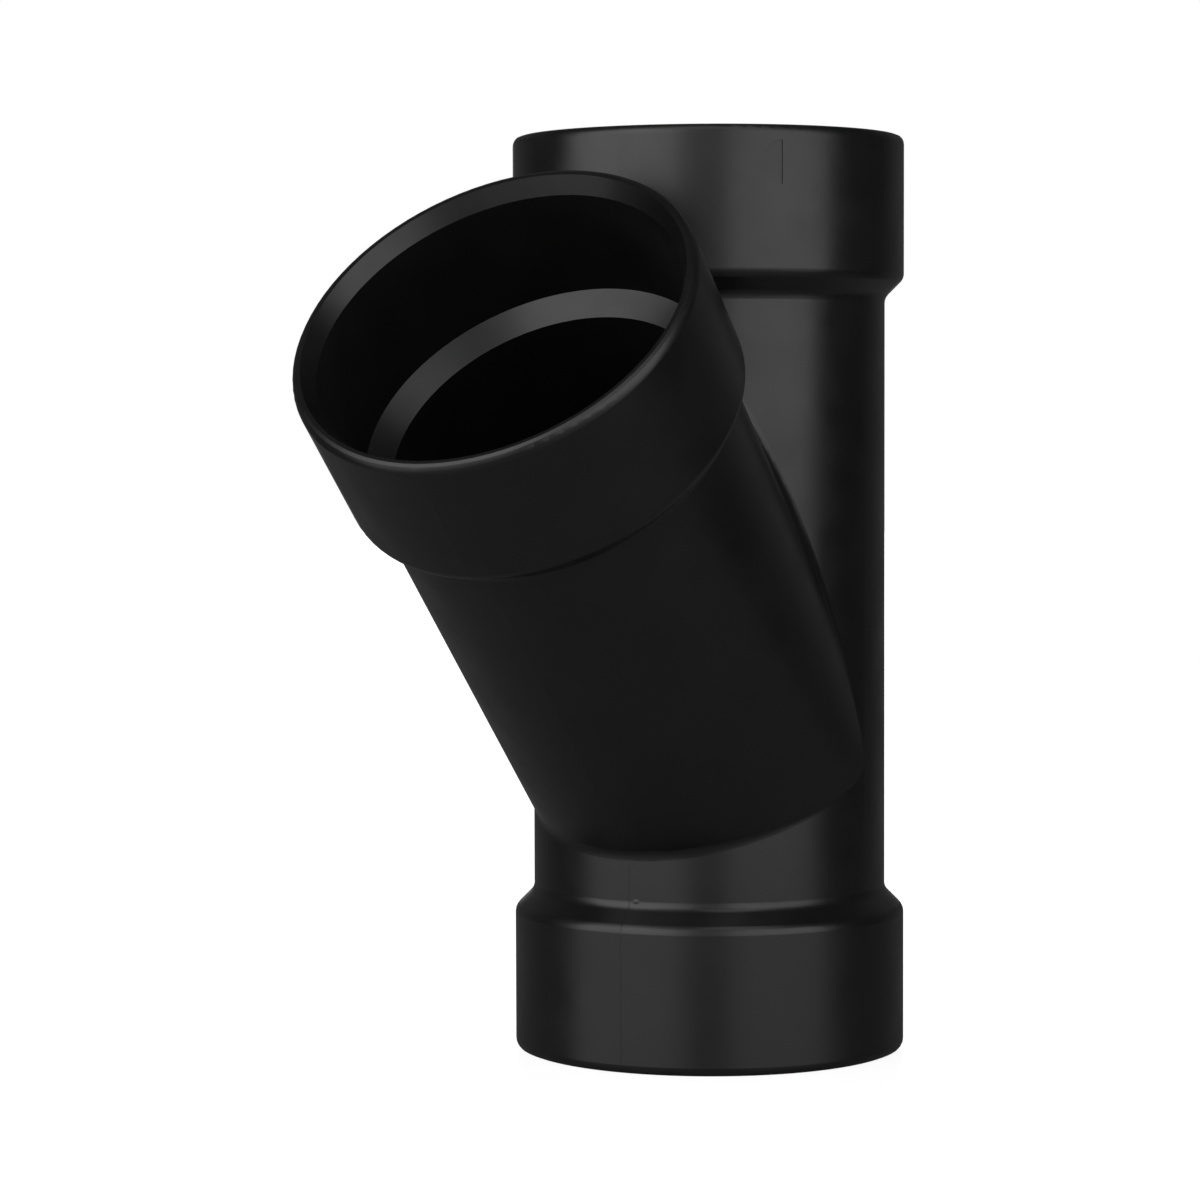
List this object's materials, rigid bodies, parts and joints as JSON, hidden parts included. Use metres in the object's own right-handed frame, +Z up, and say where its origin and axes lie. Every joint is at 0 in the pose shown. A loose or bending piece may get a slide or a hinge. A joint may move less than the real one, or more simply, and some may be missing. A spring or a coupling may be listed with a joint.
{
  "type": "lateral wye pipe fitting",
  "caption": "Moulded 45 degree lateral wye for drain pipe: a straight run and a slanting branch, each leg ending in a wider socket with a bevelled mouth.",
  "frame": {"origin": "centre of the lower hub's rim, on the run's axis, where the fitting stands", "axes": "+Z up the run, from the lower hub to the upper hub; +X to the side the branch leans to; the branch lies in the XZ plane, 45 degrees from +Z"},
  "size_m": [0.2519, 0.127, 0.2964],
  "materials": {
    "moulded_plastic": "black ABS, satin as moulded"
  },
  "bodies": {
    "root": {"wye_body": "moulded_plastic"}
  },
  "joints": []
}
